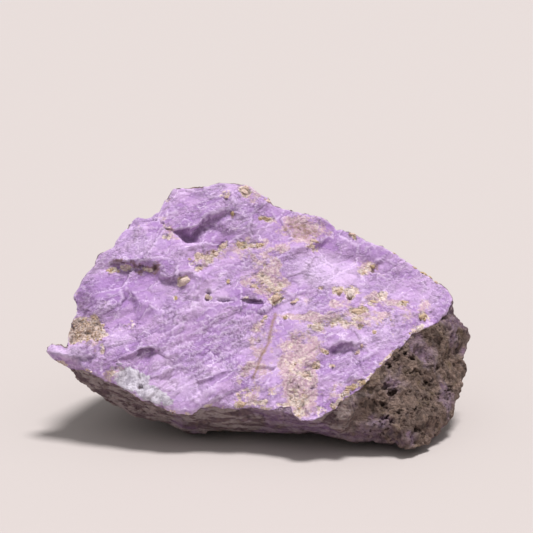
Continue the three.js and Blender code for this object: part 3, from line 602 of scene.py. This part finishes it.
class Paint:
    """Builds one node material, a mix at a time."""

    def __init__(self, name):
        self.material = bpy.data.materials.new(name)
        self.material.use_nodes = True
        self.tree = self.material.node_tree
        self.shader = self.tree.nodes["Principled BSDF"]
        self.coords = self.tree.nodes.new("ShaderNodeTexCoord").outputs["Object"]

    def link(self, source, target):
        self.tree.links.new(source, target)

    def put(self, socket, value):
        if isinstance(value, bpy.types.NodeSocket):
            self.link(value, socket)
        elif hasattr(value, "__len__") and socket.type == "RGBA":
            socket.default_value = (*value, 1.0)
        else:
            socket.default_value = value

    def mark(self, name):
        node = self.tree.nodes.new("ShaderNodeAttribute")
        node.attribute_name = name
        return node.outputs["Fac"]

    def noise(self, size, detail=2.0, roughness=0.55, coords=None, output="Fac"):
        node = self.tree.nodes.new("ShaderNodeTexNoise")
        self.link(coords or self.coords, node.inputs["Vector"])
        node.inputs["Scale"].default_value = 1 / size
        node.inputs["Detail"].default_value = detail
        node.inputs["Roughness"].default_value = roughness
        return node.outputs[output]

    def vector(self, operation, a, b=(0, 0, 0)):
        node = self.tree.nodes.new("ShaderNodeVectorMath")
        node.operation = operation
        self.put(node.inputs[0], a)
        self.put(node.inputs[1], b)
        return node.outputs["Value" if operation == "DOT_PRODUCT" else "Vector"]

    def warped(self, size, reach, coords=None):
        """Coordinates bent by noise of one size."""
        bend = self.vector("SUBTRACT", self.noise(size, 3.0, output="Color"), (0.5, 0.5, 0.5))
        return self.vector("ADD", coords or self.coords, self.vector("MULTIPLY", bend, (reach, reach, reach)))

    def cells(self, size, coords, feature="F1"):
        node = self.tree.nodes.new("ShaderNodeTexVoronoi")
        node.feature = feature
        self.link(coords, node.inputs["Vector"])
        node.inputs["Scale"].default_value = 1 / size
        return node

    def facets(self, size, warp, coords=None):
        """Tilted chips of one size: their heights in chip sizes, and one random shade for each chip."""
        coords = self.warped(size, warp, coords)
        cell = self.cells(size, coords)
        way = self.vector("SUBTRACT", coords, cell.outputs["Position"])
        tilt = self.vector("SUBTRACT", cell.outputs["Color"], (0.5, 0.5, 0.5))
        height = self.math("MULTIPLY", self.vector("DOT_PRODUCT", way, tilt), 1 / size)
        return height, self.vector("DOT_PRODUCT", cell.outputs["Color"], (0.34, 0.33, 0.33))

    def stretched(self, rows):
        """Object coordinates along three directions, each given as a row."""
        node = self.tree.nodes.new("ShaderNodeCombineXYZ")
        for socket, row in zip(node.inputs, rows):
            self.link(self.vector("DOT_PRODUCT", self.coords, tuple(row)), socket)
        return node.outputs["Vector"]

    def math(self, operation, a, b=0.0, c=0.0):
        node = self.tree.nodes.new("ShaderNodeMath")
        node.operation = operation
        for socket, value in zip(node.inputs, (a, b, c)):
            self.put(socket, value)
        return node.outputs["Value"]

    def times(self, a, b):
        return self.math("MULTIPLY", a, b)

    def total(self, *terms):
        """The sum of (value, weight) pairs."""
        value = self.times(*terms[0])
        for source, weight in terms[1:]:
            value = self.math("MULTIPLY_ADD", source, weight, value)
        return value

    def step(self, value, low, high, to_low=0.0, to_high=1.0):
        node = self.tree.nodes.new("ShaderNodeMapRange")
        node.interpolation_type = "SMOOTHSTEP"
        for name, number in (("From Min", low), ("From Max", high), ("To Min", to_low), ("To Max", to_high)):
            node.inputs[name].default_value = number
        self.link(value, node.inputs["Value"])
        return node.outputs["Result"]

    def mix(self, share, a, b):
        node = self.tree.nodes.new("ShaderNodeMix")
        node.data_type = "RGBA"
        self.put(node.inputs["Factor"], share)
        colours = [socket for socket in node.inputs if socket.type == "RGBA"]
        self.put(colours[0], a)
        self.put(colours[1], b)
        return next(socket for socket in node.outputs if socket.type == "RGBA")

    def ragged(self, name, edge_noise, reach=0.9, low=0.35, high=0.65):
        """A mark with its edge broken up by noise."""
        mark = self.mark(name)
        shift = self.math("MULTIPLY_ADD", edge_noise, reach, -0.5 * reach)
        return self.step(self.math("MULTIPLY_ADD", shift, self.step(mark, 0.0, 0.12), mark), low, high)

    def bump(self, height):
        """Bump from a height in millimetres."""
        node = self.tree.nodes.new("ShaderNodeBump")
        node.inputs["Distance"].default_value = MM
        node.inputs["Strength"].default_value = 1.0
        self.link(height, node.inputs["Height"])
        self.link(node.outputs["Normal"], self.shader.inputs["Normal"])


def stone_paint(colours):
    """Lilac mineral with crust, stains, bloom and rind, each laid on by its mark."""
    paint = Paint("stone_minerals")
    streaks = paint.noise(1.7 * MM, 5.0, 0.65, paint.stretched((FLAKE_ALONG / 3, FLAKE_ACROSS, FLAKE_OUT)))
    layers = paint.noise(1.6 * MM, 4.0, 0.6, paint.stretched(((0.2, 0, 0), (0, 0.6, 0), (0, 0, 1))))
    clouds = paint.noise(13 * MM, 3.0)
    speckle = paint.noise(0.75 * MM, 4.0, 0.7)
    grit = paint.noise(1.5 * MM, 5.0, 0.7)
    mottle = paint.noise(3.4 * MM, 5.0, 0.7)
    along = paint.stretched((FLAKE_ALONG / 2.2, FLAKE_ACROSS, FLAKE_OUT))
    chip, chip_shade = paint.facets(3.2 * MM, 2.2 * MM, along)
    splinter, splinter_shade = paint.facets(1.1 * MM, 0.7 * MM, along)
    crumble, crumble_shade = paint.facets(1.25 * MM, 0.9 * MM)
    clusters = paint.noise(7 * MM, 2.0)
    holes = paint.cells(1.5 * MM, paint.warped(0.9 * MM, 1.6 * MM)).outputs["Distance"]
    pores = paint.times(paint.step(holes, 0.16, 0.34, 1.0, 0.0), paint.step(clusters, 0.46, 0.60))
    seams = paint.cells(5.0 * MM, paint.warped(2.6 * MM, 4.0 * MM), "DISTANCE_TO_EDGE").outputs["Distance"]

    shade = paint.total((streaks, 0.5), (chip_shade, 0.5), (splinter_shade, 0.2))
    lilac = paint.mix(paint.step(shade, 0.42, 0.76), colours.lilac_deep, colours.lilac)
    lilac = paint.mix(paint.step(clouds, 0.35, 0.75, 0.0, 0.3), lilac, colours.lilac_pale)
    # darker lilac on the deep patches and paler on the pale ones: partly the lilac's own tone, partly painted shade
    # and painted light on facets by how they face the light
    lilac = paint.mix(paint.times(paint.mark("deep"), 0.75), lilac, colours.lilac_deep)
    lilac = paint.mix(paint.times(paint.mark("pale_and_lit"), 0.55), lilac, colours.lilac_pale)
    # smooth chips keep a quarter of the fine mottle that broken ground has
    unevenness = paint.math("MULTIPLY_ADD", paint.mark("broken"), 0.75, 0.25)
    lilac = paint.mix(paint.times(paint.step(speckle, 0.36, 0.46, 0.35, 0.0), unevenness), lilac, colours.lilac_deep)
    powder = paint.times(paint.times(paint.step(speckle, 0.54, 0.64), 0.5), unevenness)
    # proud edges paler: partly powder, partly a painted highlight
    edges = paint.times(paint.mark("proud"), 0.6)
    bruised = paint.times(paint.step(seams, 0.0, 0.06, 0.9, 0.0), paint.step(mottle, 0.48, 0.58))
    pale_and_lit = paint.math("MAXIMUM", paint.math("MAXIMUM", powder, edges), bruised)
    lilac = paint.mix(pale_and_lit, lilac, colours.lilac_pale)

    blush = paint.mix(paint.step(speckle, 0.44, 0.60, 0.0, 0.7), colours.blush, colours.chalk)
    blush = paint.mix(paint.step(grit, 0.60, 0.68, 0.0, 0.45), blush, colours.umber)
    body = paint.mix(paint.times(paint.ragged("blush", mottle, 2.2), 0.85), lilac, blush)
    body = paint.mix(paint.times(paint.ragged("umber", grit, 2.0), 0.75), body, colours.umber)
    ash = paint.mix(paint.step(grit, 0.40, 0.58), colours.ash, colours.bloom)
    body = paint.mix(paint.times(paint.ragged("ash", grit, 1.2, 0.25, 0.5), 0.85), body, ash)

    crust = paint.mix(paint.step(speckle, 0.40, 0.58), colours.cream, colours.chalk)
    crust = paint.mix(paint.step(grit, 0.58, 0.67, 0.0, 0.45), crust, colours.umber)
    body = paint.mix(paint.times(paint.ragged("crust", mottle, 2.0, 0.40, 0.55), 0.9), body, crust)
    ochre = paint.mix(paint.step(speckle, 0.42, 0.58), colours.ochre, colours.chalk)
    body = paint.mix(paint.times(paint.ragged("ochre", grit, 1.8), 0.75), body, ochre)
    body = paint.mix(paint.times(paint.mark("vein"), 0.85), body, colours.vein)

    rind = paint.mix(paint.step(crumble_shade, 0.32, 0.66), colours.rind, colours.rind_pale)
    rind = paint.mix(paint.step(mottle, 0.54, 0.64, 0.0, 0.65), rind, colours.rind_olive)
    layered = paint.mix(paint.step(layers, 0.44, 0.54), colours.rind_mauve, colours.rind_grey)
    layered = paint.mix(paint.step(clouds, 0.48, 0.58, 0.0, 0.45), layered, colours.lilac_deep)
    mauve = paint.math("MAXIMUM", paint.step(clouds, 0.46, 0.6, 0.0, 0.55), paint.times(paint.mark("mauve"), 0.9))
    rind = paint.mix(mauve, rind, layered)
    # rind paler on its proud lumps: partly wear, partly a painted highlight
    rind = paint.mix(paint.times(paint.mark("proud"), 0.45), rind, colours.rind_pale)
    # painted shade in the rind's small dents, where the grit also sinks the bump
    rind = paint.mix(paint.step(grit, 0.58, 0.68, 0.0, 0.5), rind, colours.hollow_shade)
    # painted shade in the rind's pores, fainter on the underside
    pitted = paint.math("MULTIPLY_ADD", paint.mark("mauve"), -0.8, 0.85)
    rind = paint.mix(paint.times(pores, pitted), rind, colours.hollow_shade)
    body = paint.mix(paint.ragged("rind", speckle, 0.5), body, rind)

    # painted shade: near-black in holes, cracks, pits and gaps, and a little in every crease
    cavity_shade = paint.math("MAXIMUM", paint.mark("hollow_shade"), paint.times(paint.mark("sunk"), 0.3))
    body = paint.mix(paint.times(cavity_shade, 0.9), body, colours.hollow_shade)
    paint.link(body, paint.shader.inputs["Base Color"])

    paint.link(paint.step(grit, 0.3, 0.7, 0.75, 0.95), paint.shader.inputs["Roughness"])
    paint.shader.inputs["Specular IOR Level"].default_value = STONE_SPECULAR
    rugged = paint.math("MAXIMUM", paint.mark("crust"), paint.mark("rind"))
    small = paint.total((splinter, 0.9), (speckle, 0.6), (streaks, 0.5))
    fine = paint.total((chip, 2.0), (paint.times(small, unevenness), 1.0))
    coarse = paint.total((grit, -2.0), (crumble, 1.8), (layers, 1.2), (pores, -0.9))
    paint.bump(paint.math("MULTIPLY_ADD", coarse, rugged, fine))
    return paint.material


def crumb_paint(colours):
    """Crumbs from chalk through cream to ochre and brown, one tone to each crumb."""
    paint = Paint("crumb_minerals")
    speckle = paint.noise(0.5 * MM, 3.0, 0.6)
    grit = paint.noise(1.4 * MM, 4.0, 0.7)
    tone = paint.mark("tone")
    body = paint.mix(paint.step(tone, 0.05, 0.4), colours.chalk, colours.cream)
    body = paint.mix(paint.step(tone, 0.35, 0.8, 0.0, 0.8), body, colours.ochre)
    body = paint.mix(paint.step(tone, 0.84, 0.98), body, colours.umber)
    body = paint.mix(paint.step(speckle, 0.45, 0.7, 0.0, 0.4), body, colours.blush)
    body = paint.mix(paint.step(grit, 0.55, 0.72, 0.0, 0.5), body, colours.umber)
    paint.link(body, paint.shader.inputs["Base Color"])
    paint.link(paint.step(speckle, 0.3, 0.7, 0.75, 0.95), paint.shader.inputs["Roughness"])
    paint.shader.inputs["Specular IOR Level"].default_value = STONE_SPECULAR
    paint.bump(paint.total((speckle, 0.3), (grit, 0.8)))
    return paint.material


class SPECIMEN_OT_stone(bpy.types.Operator):
    """Carve the stone's flakes, crust and pits on a fine copy of its solid, and colour them."""

    bl_idname = "specimen.stone"
    bl_label = "Dress the stone"

    def execute(self, context):
        shape, colours = context.scene.specimen_shape, context.scene.specimen_colours
        mesh = fine_copy(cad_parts["stone"], shape.cuts)
        surface = Surface(mesh)
        marks = carve_stone(surface, shape)
        mesh.vertices.foreach_set("co", surface.places.ravel())
        for name, values in marks.items():
            attribute = mesh.attributes.new(name, "FLOAT", "POINT")
            attribute.data.foreach_set("value", np.clip(values, 0, 1).astype(np.float32))
        mesh.update()
        mesh.shade_smooth()
        piece = add_piece("broken_stone", mesh, stone_paint(colours))
        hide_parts("stone")
        return {"FINISHED"}


def chipped_ball(rng, detail):
    """A unit ball with random flats cut on it: its points and its triangles."""
    made = bmesh.new()
    bmesh.ops.create_icosphere(made, subdivisions=detail, radius=1)
    made.verts.ensure_lookup_table()
    points = np.array([v.co for v in made.verts])
    faces = np.array([[v.index for v in f.verts] for f in made.faces])
    made.free()
    for flat in rng.normal(size=(FLATS_PER_CRUMB, 3)):
        flat /= np.linalg.norm(flat)
        over = np.clip(points @ flat - rng.uniform(0.5, 0.85), 0, None)
        points = points - over[:, None] * flat
    return points * (1 + 0.25 * noise_at(points, 0.7, rng.integers(900), 2))[:, None], faces


class SPECIMEN_OT_crumbs(bpy.types.Operator):
    """Set nuggets and crumbs into the stone's crust."""

    bl_idname = "specimen.crumbs"
    bl_label = "Add the nuggets and crumbs"

    def execute(self, context):
        shape, rng = context.scene.specimen_shape, np.random.default_rng(71)
        stone = bpy.data.objects["broken_stone"].data
        total = len(stone.vertices)
        places, normals = np.empty(total * 3), np.empty(total * 3)
        stone.vertices.foreach_get("co", places)
        stone.vertices.foreach_get("normal", normals)
        places, normals = places.reshape(-1, 3), normals.reshape(-1, 3)
        marks = {name: np.empty(total) for name in ("crust", "ochre", "hollow_shade")}
        for name, values in marks.items():
            stone.attributes[name].data.foreach_get("value", values)
        column, row = survey_spots(places)
        front = normals @ np.array(VIEW_OUT) > 0.1

        points, corners, tones = [], [], []

        def add(index, sizes, sink, detail, tone):
            out = Vector(normals[index])
            right = out.orthogonal() if abs(out.x) > 0.9 else Vector((1, 0, 0)) - out * out.x
            right.normalize()
            axes = np.array([right, out.cross(right), out])
            ball, faces = chipped_ball(rng, detail)
            corners.append(faces + sum(len(p) for p in points))
            points.append(places[index] + (ball * sizes) @ axes - normals[index] * sink)
            tones.append(np.full(len(ball), min(max(tone, 0), 1), np.float32))

        for nugget in NUGGETS:
            away = np.hypot(column - nugget[0], row - nugget[1]) + 1000 * ~front
            index = int(np.argmin(away))
            deep = 0.7 * SQUARE * min(nugget[2], nugget[3])
            add(index, (SQUARE * nugget[2], SQUARE * nugget[3] * 1.1, deep), 0.3 * deep, 3, nugget[4] - 0.12)

        weight = np.clip(marks["crust"] - 0.3, 0, 1) ** 1.5 * (marks["hollow_shade"] < 0.3) * (places[:, 2] > 2 * MM)
        weight *= np.where(front, 1, 0.25)
        for index in rng.choice(total, shape.crumbs, replace=False, p=weight / weight.sum()):
            radius = MM * (0.13 + 0.30 * rng.random() ** 2.5)
            sizes = radius * rng.uniform(0.8, 1.3, 3)
            tone = rng.beta(2, 3) + 0.3 * marks["ochre"][index]
            add(index, sizes, 0.25 * radius, 2, tone)
        mesh = bpy.data.meshes.new("crumb_grains")
        mesh.from_pydata(np.concatenate(points).tolist(), [], np.concatenate(corners).tolist())
        mesh.attributes.new("tone", "FLOAT", "POINT").data.foreach_set("value", np.concatenate(tones))
        add_piece("crust_crumbs", mesh, crumb_paint(context.scene.specimen_colours))
        return {"FINISHED"}


class SPECIMEN_OT_stage(bpy.types.Operator):
    """Lay the pale floor, and set the soft lights and the camera."""

    bl_idname = "specimen.stage"
    bl_label = "Set the stage"

    def execute(self, context):
        scene, look = context.scene, context.scene.specimen_stage
        made = bmesh.new()
        bmesh.ops.create_grid(made, x_segments=1, y_segments=1, size=FLOOR_REACH)
        mesh = bpy.data.meshes.new("floor")
        made.to_mesh(mesh)
        made.free()
        floor = bpy.data.objects.new("floor", mesh)
        scene.collection.objects.link(floor)
        paint = Paint("floor_paint")
        paint.shader.inputs["Base Color"].default_value = (*look.floor, 1)
        paint.shader.inputs["Roughness"].default_value = 0.8
        mesh.materials.append(paint.material)

        world = bpy.data.worlds.new("studio")
        world.use_nodes = True
        world.node_tree.nodes["Background"].inputs["Color"].default_value = (1, 1, 1, 1)
        world.node_tree.nodes["Background"].inputs["Strength"].default_value = look.sky
        scene.world = world
        sun = bpy.data.lights.new("key_light", "SUN")
        sun.energy = look.key
        sun.angle = look.softness
        key = bpy.data.objects.new("key_light", sun)
        key.rotation_euler = KEY_WAY.to_track_quat("-Z", "Y").to_euler()
        scene.collection.objects.link(key)

        lens = bpy.data.cameras.new("camera")
        lens.sensor_width = SENSOR_WIDTH
        lens.lens = SENSOR_WIDTH * EYE_DISTANCE / (IMAGE_SIDE * SQUARE)
        lens.clip_start = 0.01
        camera = bpy.data.objects.new("camera", lens)
        camera.location = SURVEY_ORIGIN + Vector((AXIS_X, 0, 0)) + VIEW_UP * AXIS_UP + VIEW_OUT * EYE_DISTANCE
        camera.rotation_euler = (math.pi / 2 - TILT, 0, 0)
        scene.collection.objects.link(camera)
        scene.camera = camera
        scene.view_settings.view_transform = "Standard"
        return {"FINISHED"}


class SPECIMEN_PT_panel(bpy.types.Panel):
    """The specimen's tools and values."""

    bl_label = "Specimen"
    bl_idname = "SPECIMEN_PT_panel"
    bl_space_type = "VIEW_3D"
    bl_region_type = "UI"
    bl_category = "Specimen"

    def draw(self, context):
        layout = self.layout
        for operator in (SPECIMEN_OT_stone, SPECIMEN_OT_crumbs, SPECIMEN_OT_stage):
            layout.operator(operator.bl_idname)
        for group in (context.scene.specimen_shape, context.scene.specimen_colours, context.scene.specimen_stage):
            box = layout.box()
            for name in group.__annotations__:
                box.prop(group, name)


CLASSES = (
    SpecimenShape,
    SpecimenColours,
    SpecimenStage,
    SPECIMEN_OT_stone,
    SPECIMEN_OT_crumbs,
    SPECIMEN_OT_stage,
    SPECIMEN_PT_panel,
)


def register():
    for made in CLASSES:
        bpy.utils.register_class(made)
    bpy.types.Scene.specimen_shape = PointerProperty(type=SpecimenShape)
    bpy.types.Scene.specimen_colours = PointerProperty(type=SpecimenColours)
    bpy.types.Scene.specimen_stage = PointerProperty(type=SpecimenStage)


def unregister():
    del bpy.types.Scene.specimen_stage
    del bpy.types.Scene.specimen_colours
    del bpy.types.Scene.specimen_shape
    for made in reversed(CLASSES):
        bpy.utils.unregister_class(made)


def main():
    register()
    bpy.ops.specimen.stage()
    bpy.ops.specimen.stone()
    bpy.ops.specimen.crumbs()


if __name__ == "__main__":
    main()
